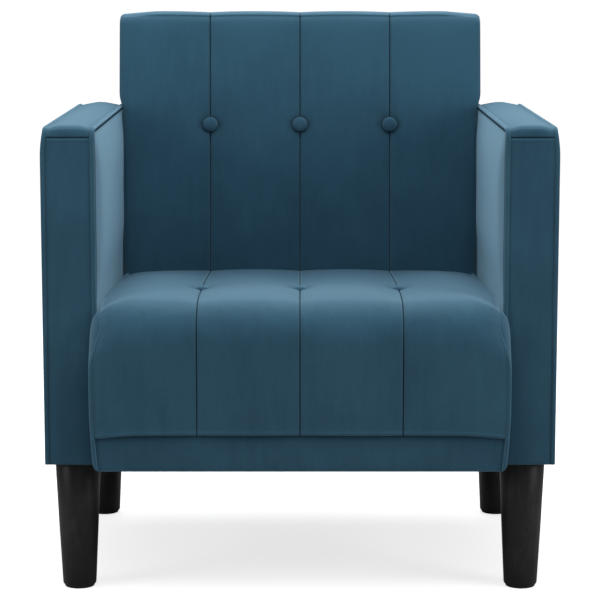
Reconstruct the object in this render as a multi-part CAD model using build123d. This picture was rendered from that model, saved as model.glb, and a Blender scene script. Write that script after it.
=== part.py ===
from build123d import *
import os
from math import cos, radians, sin, sqrt, tan

# Upholstered armchair with box arms, a fixed tufted seat and a fixed tufted back.
# Millimetres, +Z up, the sitter faces -Y, left is -X.
# Origin: middle of the overall footprint, on the floor.

# Overall sizes
overall_width = 680.0
overall_height = 762.0
leg_height = 176.0  # floor to the underside of the frame, glide included
arm_box_height = 449.0  # frame's underside to the arm top
arm_width = 72.0
arm_past_back = 68.0  # the arm runs this far behind the back's face
seat_overhang = 43.0  # seat front ahead of the arm fronts
seat_lap = 10.0  # the front of the seat laps this far over each arm front
seat_box_rear = 200.0  # frame's underside to the seat's top plane at the back
seat_rise = 26.0  # from there to the top plane at the front, before the edge is rolled
inside_depth = 447.0  # arm front to the back's face, at seat height
back_thickness = 100.0
back_recline = 4.5  # degrees from vertical

# Covers, boards and running clearances
cover = 1.5  # velvet with its backing
module_gap = 0.5  # between the arms, the seat box and the back slab
seat_gap = 0.6  # each side of the seat and the back, to the arms
bolt_clearance = 0.2  # radial, round bolts and twines
board = 3.0
lumber = 25.0  # thickness of the frame boards

# Arms
arm_front_round = 12.0
arm_rear_round = 10.0
arm_inner_pad = 8.0
arm_outer_pad = 4.0
arm_front_pad = 6.0
arm_rear_pad = 2.0
arm_top_pad = 14.0
arm_front_post_depth = 40.0
arm_rear_post_depth = 45.0
arm_bottom_rail_height = 40.0

# Legs and what fixes them
leg_centre_from_side = 40.5
front_leg_setback = 42.0
rear_leg_inset = 63.5
leg_top_radius = 31.0
leg_foot_radius = 22.5
leg_foot_round = 2.0
glide_radius = 20.0
glide_height = 3.0
glide_round = 1.0
hanger_radius = 4.0
hanger_below = 32.0
hanger_above = 34.0
plate_thickness = 2.5
plate_width = 36.0
plate_length = 60.0

# Seat
seat_roll = 55.0  # radius of the rolled front edge
seat_front_pad = 24.0
band_height = 49.0  # the plain band below the channelled panel's lip
lip_recess = 3.0  # the band lies this far behind the lip
seat_rail_height = 60.0
dust_cloth = 0.8
corner_block_leg = 50.0
corner_block_height = 40.0
felt = 4.0
spring_count = 4
spring_wire_radius = 1.8
spring_half_width = 22.0
spring_pitch = 26.0
spring_turn = 10.4  # radius of each turn
clip_width = 16.0
clip_length = 14.0
clip_height = 4.6
clip_gap = 0.1
wire_lift = 0.4

# Back
back_corner_round = 8.0
back_side_pad = 8.0
back_top_pad = 18.0
back_webbing = 2.0
back_lumber = 42.0
back_post_width = 30.0
back_rail_height = 45.0
webbing_width = 50.0
webbing_below = 3  # straps under the middle rail
webbing_above = 1

# Buttons: three on the seat and three on the back, all on the channel seams
seam_spacing = 135.0
seat_button_setback = 126.0  # behind the arm fronts
back_button_drop = 167.0  # below the top
button_radius = 11.0
button_height = 7.0
button_round = 5.5
twine_radius = 1.2
twine_in_rail = 20.0
washer_radius = 10.0
washer_thickness = 2.0

# Bolts that join the arms to the seat box and to the back slab
bolt_radius = 3.5
bolt_head_radius = 7.0
bolt_head = 4.0
insert_radius = 6.0
insert_length = 20.0
bolt_in_insert = 18.0
bolt_head_room = 5.0  # from a bolt head to the block or rail beside it
seat_bolt_height = 22.0  # above the frame's underside
back_bolt_pitch = 34.0
back_bolt_inset = 10.0  # behind the front of the back's posts

# Places that follow from the sizes
arm_length = inside_depth + arm_past_back
arm_height = leg_height + arm_box_height
seat_rear_height = leg_height + seat_box_rear
seat_front_height = seat_rear_height + seat_rise
lip_height = leg_height + band_height
recline = radians(back_recline)
arc_middle = 1 - 1 / sqrt(2)  # how far in a quarter arc's middle lies, per radius
cut_margin = 1.0  # how far a cutting block runs past what it cuts
back_foot = leg_height + back_thickness * sin(recline) + module_gap
back_length = (overall_height - back_foot) / cos(recline)
back_face_at_foot = inside_depth - (seat_rear_height - back_foot) * tan(recline)
rear_reach = back_face_at_foot + back_thickness * cos(recline) + back_length * sin(recline)
arm_front = -(rear_reach - seat_overhang) / 2
arm_rear = arm_front + arm_length
arm_outside = overall_width / 2
arm_inside = arm_outside - arm_width
seat_front = arm_front - seat_overhang
seat_front_width = 2 * (arm_inside + seat_lap)
module_half = arm_inside - seat_gap
back_face = arm_front + back_face_at_foot

frame_inside = arm_inside + cover + arm_inner_pad + board
frame_outside = arm_outside - cover - arm_outer_pad - board
arm_core_front = arm_front + cover + arm_front_pad
arm_core_rear = arm_rear - cover - arm_rear_pad
arm_core_top = arm_height - cover - arm_top_pad
arm_rail_foot = leg_height + plate_thickness
arm_post_foot = arm_rail_foot + arm_bottom_rail_height
arm_post_top = arm_core_top - lumber

rail_foot = leg_height + dust_cloth
rail_top = rail_foot + seat_rail_height
rail_half = module_half - cover
front_rail_face = seat_front + lip_recess + cover + seat_front_pad
front_rail_back = front_rail_face + lumber
felt_foot = rail_top + clip_height
foam_foot = felt_foot + felt
seat_slope = (seat_front_height - seat_rear_height) / (inside_depth + seat_overhang)

back_frame_face = back_thickness - cover - board - back_lumber
back_pad = back_frame_face - back_webbing
post_outside = module_half - cover - back_side_pad
post_inside = post_outside - back_post_width
back_core_top = back_length - cover - back_top_pad
button_level = (overall_height - back_button_drop - back_foot) / cos(recline)


def block(x0, x1, y0, y1, z0, z1):
    """A box between two corners."""
    size = Box(x1 - x0, y1 - y0, z1 - z0, align=(Align.MIN, Align.MIN, Align.MIN))
    return Pos(x0, y0, z0) * size


def side_prism(outline, x0, x1):
    """A side-view face, drawn in Y and Z, given its width from x0 to x1."""
    face = Plane.YZ * outline
    return Pos(x0, 0, 0) * extrude(face, amount=x1 - x0, dir=(1, 0, 0))


def rod(start, end, radius):
    """A round bar between two points."""
    line = Vector(*end) - Vector(*start)
    plane = Plane(origin=start, z_dir=line)
    return extrude(plane * Circle(radius), amount=line.length)


def both_sides(name, right):
    """The piece on +X and its mirror image on -X."""
    return {"right_" + name: right, "left_" + name: mirror(right, about=Plane.YZ)}


def back_plane_y(z):
    """Y of the back's front face at a height."""
    return back_face + (z - back_foot) * tan(recline)


def lean(part):
    """Takes a piece of the upright slab to the reclined place."""
    return Pos(0, back_face, back_foot) * Rot(X=-back_recline) * part


def lean_point(x, depth, level):
    """A point of the upright slab in its reclined place."""
    y = back_face + depth * cos(recline) + level * sin(recline)
    z = back_foot - depth * sin(recline) + level * cos(recline)
    return (x, y, z)


def seam_places():
    """X of the three channel seams."""
    return [seam_spacing * k for k in (-1, 0, 1)]


# Bolts


def seat_bolt_lines():
    """Start and end on +X of each bolt from the seat box to the arm, clear of the corner blocks."""
    level = rail_foot + seat_bolt_height
    start = rail_half - lumber
    clear = corner_block_leg + bolt_head_room + bolt_head_radius
    depths = (front_rail_back + clear, seat_rear(rail_foot) - lumber - clear)
    return [((start, y, level), (frame_inside, y, level)) for y in depths]


def back_bolt_lines():
    """Start and end on +X of each bolt between the back slab and the arm."""
    lines = []
    lowest = cover + back_rail_height + bolt_head_room + bolt_head_radius
    for level in (lowest, lowest + back_bolt_pitch):
        x, y, z = lean_point(post_inside, back_frame_face + back_bolt_inset, level)
        lines.append(((x, y, z), (frame_inside, y, z)))
    return lines


def shift_x(point, distance):
    """A point moved along X."""
    return (point[0] + distance, point[1], point[2])


def bolt(start, end):
    """A round-headed bolt whose head bears on the board at start."""
    shank = rod(start, shift_x(end, bolt_in_insert), bolt_radius)
    return shank + rod(shift_x(start, -bolt_head), start, bolt_head_radius)


def insert(end):
    """A threaded sleeve sunk in the arm's frame."""
    far = shift_x(end, insert_length)
    return rod(end, far, insert_radius) - rod(end, far, bolt_radius + bolt_clearance)


def drill_side(part):
    """Bores for every bolt and insert on +X."""
    for start, end in seat_bolt_lines() + back_bolt_lines():
        part -= rod(shift_x(start, -bolt_head), end, bolt_radius + bolt_clearance)
        part -= rod(end, shift_x(end, insert_length), insert_radius)
    return part


def drill_both(part):
    """The same bores on both sides."""
    drilled = drill_side(part)
    return mirror(drill_side(mirror(drilled, about=Plane.YZ)), about=Plane.YZ)


def frame_hardware():
    lines = seat_bolt_lines() + back_bolt_lines()
    bolts = [bolt(start, end) for start, end in lines]
    inserts = [insert(end) for start, end in lines]
    return {
        "frame_bolts": bolts + [mirror(b, about=Plane.YZ) for b in bolts],
        "frame_thread_inserts": inserts + [mirror(i, about=Plane.YZ) for i in inserts],
    }


# Arms


def arm_outline(inset):
    """Side view of an arm: square at the foot, rounded at its two top corners."""
    y0 = arm_front + inset
    y1 = arm_rear - inset
    top = arm_height - inset
    r0 = arm_front_round - inset
    r1 = arm_rear_round - inset
    mid0 = (y0 + r0 * arc_middle, top - r0 * arc_middle)
    mid1 = (y1 - r1 * arc_middle, top - r1 * arc_middle)
    edges = [
        Line((y0, leg_height), (y0, top - r0)),
        ThreePointArc((y0, top - r0), mid0, (y0 + r0, top)),
        Line((y0 + r0, top), (y1 - r1, top)),
        ThreePointArc((y1 - r1, top), mid1, (y1, top - r1)),
        Line((y1, top - r1), (y1, leg_height)),
        Line((y1, leg_height), (y0, leg_height)),
    ]
    return make_face(edges)


def arm_frame():
    """Posts and rails of the right arm, between its two boards."""
    wide = (frame_inside, frame_outside)
    front_post_back = arm_core_front + arm_front_post_depth
    rear_post_front = arm_core_rear - arm_rear_post_depth
    return {
        "arm_bottom_rail": block(*wide, arm_core_front, arm_core_rear, arm_rail_foot, arm_post_foot),
        "arm_front_post": block(*wide, arm_core_front, front_post_back, arm_post_foot, arm_post_top),
        "arm_rear_post": block(*wide, rear_post_front, arm_core_rear, arm_post_foot, arm_post_top),
        "arm_top_rail": block(*wide, arm_core_front, arm_core_rear, arm_post_top, arm_core_top),
    }


def arm_boards():
    """Thin boards on the two faces of the frame."""
    span = (arm_core_front, arm_core_rear, leg_height, arm_core_top)
    return {
        "arm_inner_board": block(frame_inside - board, frame_inside, *span),
        "arm_outer_board": block(frame_outside, frame_outside + board, *span),
    }


def arm_soft():
    """Padding round the boarded frame, and the three cover panels."""
    inner = arm_inside + cover
    outer = arm_outside - cover
    core = block(
        frame_inside - board,
        frame_outside + board,
        arm_core_front,
        arm_core_rear,
        leg_height,
        arm_core_top,
    )
    skin = side_prism(arm_outline(0), inner, outer) - side_prism(arm_outline(cover), inner, outer)
    below = block(inner, outer, arm_front + cover, arm_rear - cover, leg_height, leg_height + cover)
    return {
        "arm_padding": side_prism(arm_outline(cover), inner, outer) - core,
        "arm_top_band": skin - below,
        "arm_inner_cover": side_prism(arm_outline(0), arm_inside, inner),
        "arm_outer_cover": side_prism(arm_outline(0), outer, arm_outside),
    }


def arms():
    pieces = {}
    for name, part in {**arm_frame(), **arm_boards(), **arm_soft()}.items():
        if name in ("arm_bottom_rail", "arm_front_post", "arm_rear_post"):
            part = drill_hangers(part)
        pieces.update(both_sides(name, drill_side(part)))
    return pieces


# Legs


def leg_places():
    """Name and X, Y of each leg."""
    x = arm_outside - leg_centre_from_side
    rows = {"front": arm_front + front_leg_setback, "rear": arm_rear - rear_leg_inset}
    sides = {"left": -x, "right": x}
    return {f"{row}_{side}": (sides[side], y) for row, y in rows.items() for side in sides}


def hanger_line(place):
    """Ends of the screw that holds a leg."""
    return ((*place, leg_height - hanger_below), (*place, leg_height + hanger_above))


def drill_hangers(part):
    """Bores for the leg screws."""
    for place in leg_places().values():
        part -= rod(*hanger_line(place), hanger_radius + bolt_clearance)
    return part


def leg(place):
    """Tapered round leg with a softened foot and a bore for its screw."""
    height = leg_height - glide_height
    cone = Cone(leg_foot_radius, leg_top_radius, height, align=(Align.CENTER, Align.CENTER, Align.MIN))
    cone = Pos(*place, glide_height) * cone
    cone = fillet(cone.edges().sort_by(Axis.Z)[0], leg_foot_round)
    return drill_hangers(cone)


def glide(place):
    """Plastic glide under a leg."""
    disc = Cylinder(glide_radius, glide_height, align=(Align.CENTER, Align.CENTER, Align.MIN))
    disc = fillet(disc.edges().sort_by(Axis.Z)[0], glide_round)
    return Pos(*place, 0) * disc


def mounting_plate(place):
    """Steel plate under the arm's bottom rail that a leg screws up against."""
    x, y = place
    inward = abs(x) - plate_width / 2
    half = plate_length / 2
    front = max(y - half, arm_core_front)
    back = min(y + half, arm_core_rear)
    side = 1 if x > 0 else -1
    low, high = sorted((side * inward, side * (inward + plate_width)))
    return drill_hangers(block(low, high, front, back, leg_height, arm_rail_foot))


def legs():
    places = leg_places()
    pieces = {f"{name}_leg": leg(place) for name, place in places.items()}
    pieces["leg_glides"] = [glide(p) for p in places.values()]
    pieces["leg_mounting_plates"] = [mounting_plate(p) for p in places.values()]
    pieces["leg_hanger_bolts"] = [rod(*hanger_line(p), hanger_radius) for p in places.values()]
    return pieces


# Seat


def seat_top(y):
    """Height of the seat's top plane at a depth."""
    return seat_rear_height + (arm_front + inside_depth - y) * seat_slope


def seat_rear(z):
    """Y of the seat's rear face, which leans with the back."""
    return back_plane_y(z) - module_gap / cos(recline)


def seat_outline(inset):
    """Side view of the seat: rolled front edge, rear face leaning with the back."""
    front = seat_front + inset
    low = leg_height
    rear_top = seat_rear(seat_rear_height)
    corners = [
        (seat_rear(low), low),
        (rear_top, seat_top(rear_top) - inset),
        (front, seat_top(front) - inset),
        (front, low),
    ]
    face = make_face(Polyline(*corners, close=True))
    roll = face.vertices().sort_by_distance((front, seat_top(front) - inset, 0))[0]
    return fillet(roll, seat_roll - inset)


def seat_plan(inset):
    """Plan of the seat: narrow between the arms, wider ahead of them."""
    narrow = module_half - inset
    wide = seat_front_width / 2 - inset
    shoulder = arm_front - module_gap - inset
    far = back_plane_y(overall_height)
    near = seat_front - cut_margin
    points = [(narrow, far), (narrow, shoulder), (wide, shoulder), (wide, near)]
    mirrored = [(-x, y) for x, y in reversed(points)]
    return make_face(Polyline(*points, *mirrored, close=True))


def seat_column(inset):
    """The seat's plan as a tall solid."""
    return extrude(seat_plan(inset), amount=overall_height)


def lip_step(top):
    """What is cut away below the lip, up to a height."""
    wide = seat_front_width
    front = seat_front - cut_margin
    return block(-wide, wide, front, seat_front + lip_recess, leg_height - cut_margin, top)


def seat_soft():
    """Foam block and the sewn cover round it."""
    wide = seat_front_width / 2
    outer = side_prism(seat_outline(0), -wide, wide)
    inner = side_prism(seat_outline(cover), -wide, wide)
    core = seat_column(cover)
    rear = back_plane_y(overall_height)
    band_back = seat_front + lip_recess + cover
    hem = block(-wide, wide, seat_front, band_back, lip_height, lip_height + cover)
    over = block(-wide, wide, seat_front, rear, lip_height, overall_height)
    panel = ((outer - inner) & over & core) + (hem & outer & core)
    band = block(
        -wide,
        wide,
        seat_front + lip_recess,
        band_back,
        leg_height,
        lip_height,
    )
    frame_room = block(-rail_half, rail_half, front_rail_face, rear, 0, foam_foot)
    under = block(-wide, wide, seat_front, band_back, 0, lip_height + cover)
    foam = (inner & core) - frame_room - under
    foam -= block(-wide, wide, seat_front, rear, 0, rail_foot)
    shell = seat_column(0) - core
    boxing = (shell & outer) - lip_step(lip_height)
    half = block(0, wide, seat_front, rear, 0, overall_height)
    return {
        "seat_foam": drill_buttons(foam),
        "seat_cover": drill_buttons(panel),
        "seat_front_band": band & core,
        "seat_right_boxing": drill_both(boxing & half),
        "seat_left_boxing": drill_both(boxing & mirror(half, about=Plane.YZ)),
    }


def seat_frame():
    """Four rails, corner blocks and the cloth tacked underneath."""
    back_of_frame = seat_rear(rail_foot)
    span = (rail_foot, rail_top)
    inner_front = front_rail_back
    inner_rear = back_of_frame - lumber
    inner_half = rail_half - lumber
    side = block(inner_half, rail_half, inner_front, inner_rear, *span)
    blocks = []
    for sx in (-1, 1):
        for y, sy in ((inner_front, 1), (inner_rear, -1)):
            x = sx * inner_half
            tip = [(x, y), (x - sx * corner_block_leg, y), (x, y + sy * corner_block_leg)]
            face = make_face(Polyline(*tip, close=True))
            solid = extrude(face, amount=corner_block_height, dir=(0, 0, 1))
            blocks.append(Pos(0, 0, rail_foot) * solid)
    cloth_front = seat_front + lip_recess + cover + module_gap
    cloth = block(-rail_half, rail_half, cloth_front, back_of_frame, leg_height, rail_foot)
    return {
        "seat_front_rail": block(-rail_half, rail_half, front_rail_face, inner_front, *span),
        "seat_rear_rail": block(-rail_half, rail_half, inner_rear, back_of_frame, *span),
        "seat_right_rail": drill_both(side),
        "seat_left_rail": drill_both(mirror(side, about=Plane.YZ)),
        "seat_corner_blocks": [drill_both(b) for b in blocks],
        "seat_dust_cloth": cloth,
    }


def spring(x, front, rear, level):
    """A sinuous wire spring: straight ends under the clips, square waves with round turns."""
    turns = int((rear - front - 2 * spring_pitch) // spring_pitch)
    turns -= turns % 2
    start = (front + rear - turns * spring_pitch) / 2
    points = [(x, front, level), (x, start, level)]
    side = 1
    for k in range(turns):
        y = start + k * spring_pitch
        points.append((x + side * spring_half_width, y, level))
        points.append((x + side * spring_half_width, y + spring_pitch, level))
        side = -side
    points += [(x, start + turns * spring_pitch, level), (x, rear, level)]
    path = FilletPolyline(*points, radius=spring_turn)
    section = Plane(origin=points[0], z_dir=(0, 1, 0)) * Circle(spring_wire_radius)
    return sweep(section, path=path)


def clip(x, y, level):
    """A moulded clip that holds a spring's end down on its rail."""
    half_width = clip_width / 2
    half_length = clip_length / 2
    body = block(x - half_width, x + half_width, y - half_length, y + half_length, rail_top, felt_foot)
    start = (x, y - clip_length, level)
    end = (x, y + clip_length, level)
    return body - rod(start, end, spring_wire_radius + clip_gap)


def seat_suspension():
    """Springs across the frame, their clips and the felt laid over them."""
    front = front_rail_face + lumber / 2
    rear = seat_rear(rail_foot) - lumber / 2
    level = rail_top + wire_lift + spring_wire_radius
    step = seam_spacing
    places = [step * (k - (spring_count - 1) / 2) for k in range(spring_count)]
    springs = [spring(x, front - clip_length / 2, rear + clip_length / 2, level) for x in places]
    clips = [clip(x, y, level) for x in places for y in (front, rear)]
    sheet = block(-rail_half, rail_half, front_rail_face, seat_rear(felt_foot), felt_foot, foam_foot)
    return {
        "seat_springs": springs,
        "seat_spring_clips": clips,
        "seat_spring_felt": drill_buttons(sheet),
    }


# Buttons


def button(plane):
    """A domed covered button standing on a plane."""
    disc = Cylinder(button_radius, button_height, align=(Align.CENTER, Align.CENTER, Align.MIN))
    disc = fillet(disc.edges().sort_by(Axis.Z)[-1], button_round)
    return plane.location * disc


def seat_button_planes():
    """Where the seat's buttons stand, square to its top."""
    y = arm_front + seat_button_setback
    normal = (0, seat_slope, 1)
    return [Plane(origin=(x, y, seat_top(y)), x_dir=(1, 0, 0), z_dir=normal) for x in seam_places()]


def back_button_planes():
    """Where the back's buttons stand, square to its face."""
    normal = (0, -cos(recline), sin(recline))
    spots = [lean_point(x, 0, button_level) for x in seam_places()]
    return [Plane(origin=spot, x_dir=(1, 0, 0), z_dir=normal) for spot in spots]


def twine(plane, depth, radius):
    """A straight cord into the padding behind a button."""
    return extrude(plane * Circle(radius), amount=-depth)


def seat_twine_depth():
    """From the seat's surface to below the felt."""
    y = arm_front + seat_button_setback
    return (seat_top(y) - felt_foot + washer_thickness) * cos(seat_slope)


def drill_buttons(part):
    """Bores for the twines through the seat's padding."""
    for plane in seat_button_planes():
        part -= twine(plane, seat_twine_depth() + felt, twine_radius + bolt_clearance)
    return part


def drill_back_buttons(part):
    """Bores for the twines through the back's padding and middle rail."""
    depth = back_frame_face + twine_in_rail
    for plane in back_button_planes():
        part -= twine(plane, depth, twine_radius + bolt_clearance)
    return part


def washer(plane):
    """A flat washer under the felt that a seat twine is tied to."""
    foot = felt_foot - washer_thickness
    drop = (plane.origin.Z - foot) / plane.z_dir.Z
    spot = plane.origin - plane.z_dir * drop
    disc = Cylinder(washer_radius, washer_thickness, align=(Align.CENTER, Align.CENTER, Align.MIN))
    return drill_buttons(Pos(spot.X, spot.Y, foot) * disc)


def buttons():
    seat_planes = seat_button_planes()
    back_planes = back_button_planes()
    reach = back_frame_face + twine_in_rail
    return {
        "seat_buttons": [button(p) for p in seat_planes],
        "seat_button_twines": [twine(p, seat_twine_depth(), twine_radius) for p in seat_planes],
        "seat_button_washers": [washer(p) for p in seat_planes],
        "back_buttons": [button(p) for p in back_planes],
        "back_button_twines": [twine(p, reach, twine_radius) for p in back_planes],
    }


# Back


def slab(x0, x1, d0, d1, l0, l1):
    """A box of the upright slab: across, depth from its face, level from its foot."""
    return lean(block(x0, x1, d0, d1, l0, l1))


def back_outline(inset):
    """Front view of the slab with rounded top corners."""
    half = module_half - inset
    top = back_length - inset
    face = make_face(Polyline((-half, inset), (half, inset), (half, top), (-half, top), close=True))
    high = face.vertices().group_by(Axis.Y)[-1]
    return fillet(high, back_corner_round - inset)


def back_prism(inset, d0, d1):
    """The slab's outline given its depth from d0 to d1."""
    face = Plane(origin=(0, d0, 0), x_dir=(1, 0, 0), z_dir=(0, -1, 0)) * back_outline(inset)
    return lean(extrude(face, amount=-(d1 - d0)))


def back_frame():
    """Posts, three rails, the straps across them and the board behind."""
    span = (back_frame_face, back_frame_face + back_lumber)
    post = slab(post_inside, post_outside, *span, cover, back_core_top)
    rail = {
        "bottom": cover,
        "middle": button_level - back_rail_height / 2,
        "top": back_core_top - back_rail_height,
    }
    pieces = {
        f"back_{name}_rail": slab(-post_inside, post_inside, *span, foot, foot + back_rail_height)
        for name, foot in rail.items()
    }
    pieces["back_middle_rail"] = drill_back_buttons(pieces["back_middle_rail"])
    pieces["back_right_post"] = drill_both(post)
    pieces["back_left_post"] = drill_both(mirror(post, about=Plane.YZ))
    gaps = (
        (rail["bottom"] + back_rail_height, rail["middle"], webbing_below),
        (rail["middle"] + back_rail_height, rail["top"], webbing_above),
    )
    pieces["back_webbing"] = []
    for low, high, count in gaps:
        space = (high - low - count * webbing_width) / (count + 1)
        for k in range(count):
            foot = low + space + k * (space + webbing_width)
            depths = (back_pad, back_frame_face)
            strap = slab(-post_outside, post_outside, *depths, foot, foot + webbing_width)
            pieces["back_webbing"].append(strap)
    rear = (back_frame_face + back_lumber, back_thickness - cover)
    pieces["back_board"] = slab(-post_outside, post_outside, *rear, cover, back_core_top)
    return pieces


def back_soft():
    """Foam round the frame, and the sewn covers."""
    rear = back_thickness - cover
    core = slab(-post_outside, post_outside, back_pad, back_thickness, cover, back_core_top)
    foam = back_prism(cover, cover, rear) - core
    ring = back_prism(0, cover, rear) - back_prism(cover, cover, rear)
    return {
        "back_foam": drill_both(drill_back_buttons(foam)),
        "back_boxing": drill_both(ring),
        "back_front_cover": drill_back_buttons(back_prism(0, 0, cover)),
        "back_rear_cover": back_prism(0, rear, back_thickness),
    }


def write(pieces):
    """One STEP per node."""
    os.makedirs("parts", exist_ok=True)
    for name, shape in pieces.items():
        solids = shape if isinstance(shape, list) else [shape]
        solids = [s for item in solids for s in item.solids()]
        node = solids[0] if len(solids) == 1 else Compound(solids)
        node.label = name
        export_step(node, f"parts/{name}.step")


def main():
    groups = (legs, arms, seat_frame, seat_suspension, seat_soft, back_frame, back_soft)
    groups += (buttons, frame_hardware)
    pieces = {}
    for group in groups:
        pieces.update(group())
    write(pieces)


main()
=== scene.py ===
"""Velvet box armchair: the sewn covers, buttons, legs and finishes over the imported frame."""

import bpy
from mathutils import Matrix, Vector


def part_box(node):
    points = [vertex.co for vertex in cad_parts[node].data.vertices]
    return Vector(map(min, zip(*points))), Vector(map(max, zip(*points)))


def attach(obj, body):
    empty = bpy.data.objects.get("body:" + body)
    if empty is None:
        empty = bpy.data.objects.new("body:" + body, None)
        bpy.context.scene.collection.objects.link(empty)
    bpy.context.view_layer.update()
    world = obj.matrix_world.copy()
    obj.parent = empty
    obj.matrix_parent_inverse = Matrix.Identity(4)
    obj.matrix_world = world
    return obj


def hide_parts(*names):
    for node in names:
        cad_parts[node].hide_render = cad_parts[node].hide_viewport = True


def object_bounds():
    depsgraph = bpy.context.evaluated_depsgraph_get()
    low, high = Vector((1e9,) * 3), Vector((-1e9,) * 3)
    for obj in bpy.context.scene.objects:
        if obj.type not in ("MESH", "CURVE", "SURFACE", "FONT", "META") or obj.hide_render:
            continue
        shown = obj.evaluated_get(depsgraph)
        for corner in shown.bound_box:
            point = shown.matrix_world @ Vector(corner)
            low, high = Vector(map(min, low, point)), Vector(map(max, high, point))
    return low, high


bl_info = {
    "name": "Velvet Box Armchair",
    "version": (1, 0, 0),
    "blender": (4, 5, 0),
    "location": "3D Viewport > Sidebar > Armchair",
    "description": "Builds the upholstery, buttons, legs and finishes of a box-arm chair",
    "category": "Object",
}

import math

import bmesh
import bpy
import numpy as np
from mathutils import Matrix, Vector

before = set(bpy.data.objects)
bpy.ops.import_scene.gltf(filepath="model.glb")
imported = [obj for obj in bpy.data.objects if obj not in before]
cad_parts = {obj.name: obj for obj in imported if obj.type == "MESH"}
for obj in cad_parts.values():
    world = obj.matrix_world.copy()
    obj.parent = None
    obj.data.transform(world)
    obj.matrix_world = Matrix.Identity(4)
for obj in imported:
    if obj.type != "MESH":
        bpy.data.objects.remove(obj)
CAD_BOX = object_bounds()

BODY = "root"
MM = 0.001
TOUCH = 1e-6  # places this close together count as one
CUT = 9.5 * MM  # widest spacing of the cuts across a soft block
RECLINE = math.radians(4.5)

# Places read from the frame
TOP_BAND_LOW, TOP_BAND_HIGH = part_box("right_arm_top_band")
ARM_FRONT, ARM_REAR = TOP_BAND_LOW.y, TOP_BAND_HIGH.y
ARM_FOOT, ARM_TOP = TOP_BAND_LOW.z, TOP_BAND_HIGH.z
ARM_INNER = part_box("right_arm_inner_cover")[0].x
ARM_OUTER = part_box("right_arm_outer_cover")[1].x
SEAT_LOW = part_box("seat_cover")[0]
SEAT_FRONT, LIP = SEAT_LOW.y, SEAT_LOW.z
BAND_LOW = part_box("seat_front_band")[0]
BACK_LOW, BACK_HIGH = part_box("back_front_cover")
MODULE_HALF = BACK_HIGH.x  # half the width between the arms
BACK_TOP = CAD_BOX[1].z

# Channel seams, the same on the seat and the back
SEAM_SPACING = 135 * MM
SEAMS = (-SEAM_SPACING, 0.0, SEAM_SPACING)
SEAM_REACH = 1.1 * MM  # a seam's pull fades over this distance
SEAM_CLEAR = 2 * MM  # cloth nearer a seam than this stays sewn down
BUTTON_CLEAR = 12 * MM
BUTTON_RING = 11 * MM  # radius of the shade round a button
BUTTON_SHADE = 3.0 * MM

# Seat
SEAT_DEPTH = 490 * MM
SEAT_REAR = SEAT_FRONT + SEAT_DEPTH
SEAT_FOOT = ARM_FOOT + 1.5 * MM
SEAT_CROWN_TOP = ARM_FOOT + 226 * MM  # the top plane at the front
SEAT_SLOPE = 26 * MM / SEAT_DEPTH  # fall of the top towards the rear
SEAT_AHEAD = 9.4 * MM  # extra width each side ahead of the arms
SEAT_LEAN_FROM = 376 * MM  # height about which the rear follows the back's lean
SEAT_ROLL = 46 * MM  # radius of the rolled front
SEAT_BUTTONS_Y = ARM_FRONT + 126 * MM
SEAT_BUTTONS_Z = 392.5 * MM
HEM_RISE = 3.0 * MM  # the hem's fullest line over the lip

# Band under the lip
BAND_FRONT, BAND_REAR = BAND_LOW.y, BAND_LOW.y + 4.5 * MM
BAND_FOOT, BAND_TOP = BAND_LOW.z + 0.3 * MM, LIP - 0.2 * MM

# Back: an upright slab that leans about the lower edge of its front
BACK_THICK = 100 * MM
BACK_FOOT = Vector((0, BACK_LOW.y, BACK_LOW.z))
BACK_LENGTH = (BACK_TOP - BACK_FOOT.z) / math.cos(RECLINE)
BACK_BUTTONS = BACK_LENGTH - 167 * MM / math.cos(RECLINE)  # how far up the slab

# Arms
CROSS_SEAM = ARM_TOP - 12.5 * MM  # across the front, under the top corner
CROSS_SWELL = CROSS_SEAM - 2.8 * MM  # the fold just under that seam
CROSS_SWELL_REACH = 1.3 * MM
SWELL_FOOT = 385 * MM  # the inner face swells from here up
STUFFED_FOOT = 410 * MM  # the inner face is stuffed from here up

BUTTON_RADIUS = 10.6 * MM
BUTTON_HEIGHT = 7 * MM
LEG_TAPER = 22.5 / 31  # a leg's foot to its top

# Curves of the seat and the band, as (place, value) pairs.
# Fall and reach of the rounded side edges, by distance behind the seat's front
SIDE_DROP = (
    (0, 0.040), (0.02, 0.038), (0.043, 0.027), (0.078, 0.015),
    (0.135, 0.0085), (0.30, 0.009), (0.43, 0.0115), (SEAT_DEPTH, 0.013),
)
SIDE_REACH = ((0, 0.046), (0.043, 0.040), (SEAT_DEPTH, 0.032))
# Rise of the top in millimetres and share of the channels' crown, by distance behind the arm fronts
TOP_RISE = (
    (-0.043, 0.0), (0.02, 0.5), (0.07, 2.5), (0.13, 3.6), (0.25, 3.6), (0.36, 1.6), (0.447, -1.6),
)
TOP_CROWN = ((-0.043, 0.70), (0.0, 0.80), (0.08, 1.0), (0.30, 1.0), (0.40, 0.75), (0.447, 0.45))
# Share of the channels' crown down the front, by height
FRONT_CROWN = ((LIP, 0.25), (LIP + 0.05, 0.55), (SEAT_CROWN_TOP - 0.06, 0.70))
# Narrowing of each end in millimetres, by height
SEAT_TAPER = ((0.176, 5.5), (0.185, 4.5), (0.21, 2.5), (0.25, 0.5), (0.4, 0.0))
BAND_TAPER = ((0.176, 4.2), (0.185, 3.0), (0.21, 1.6), (0.226, 0.6))

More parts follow.
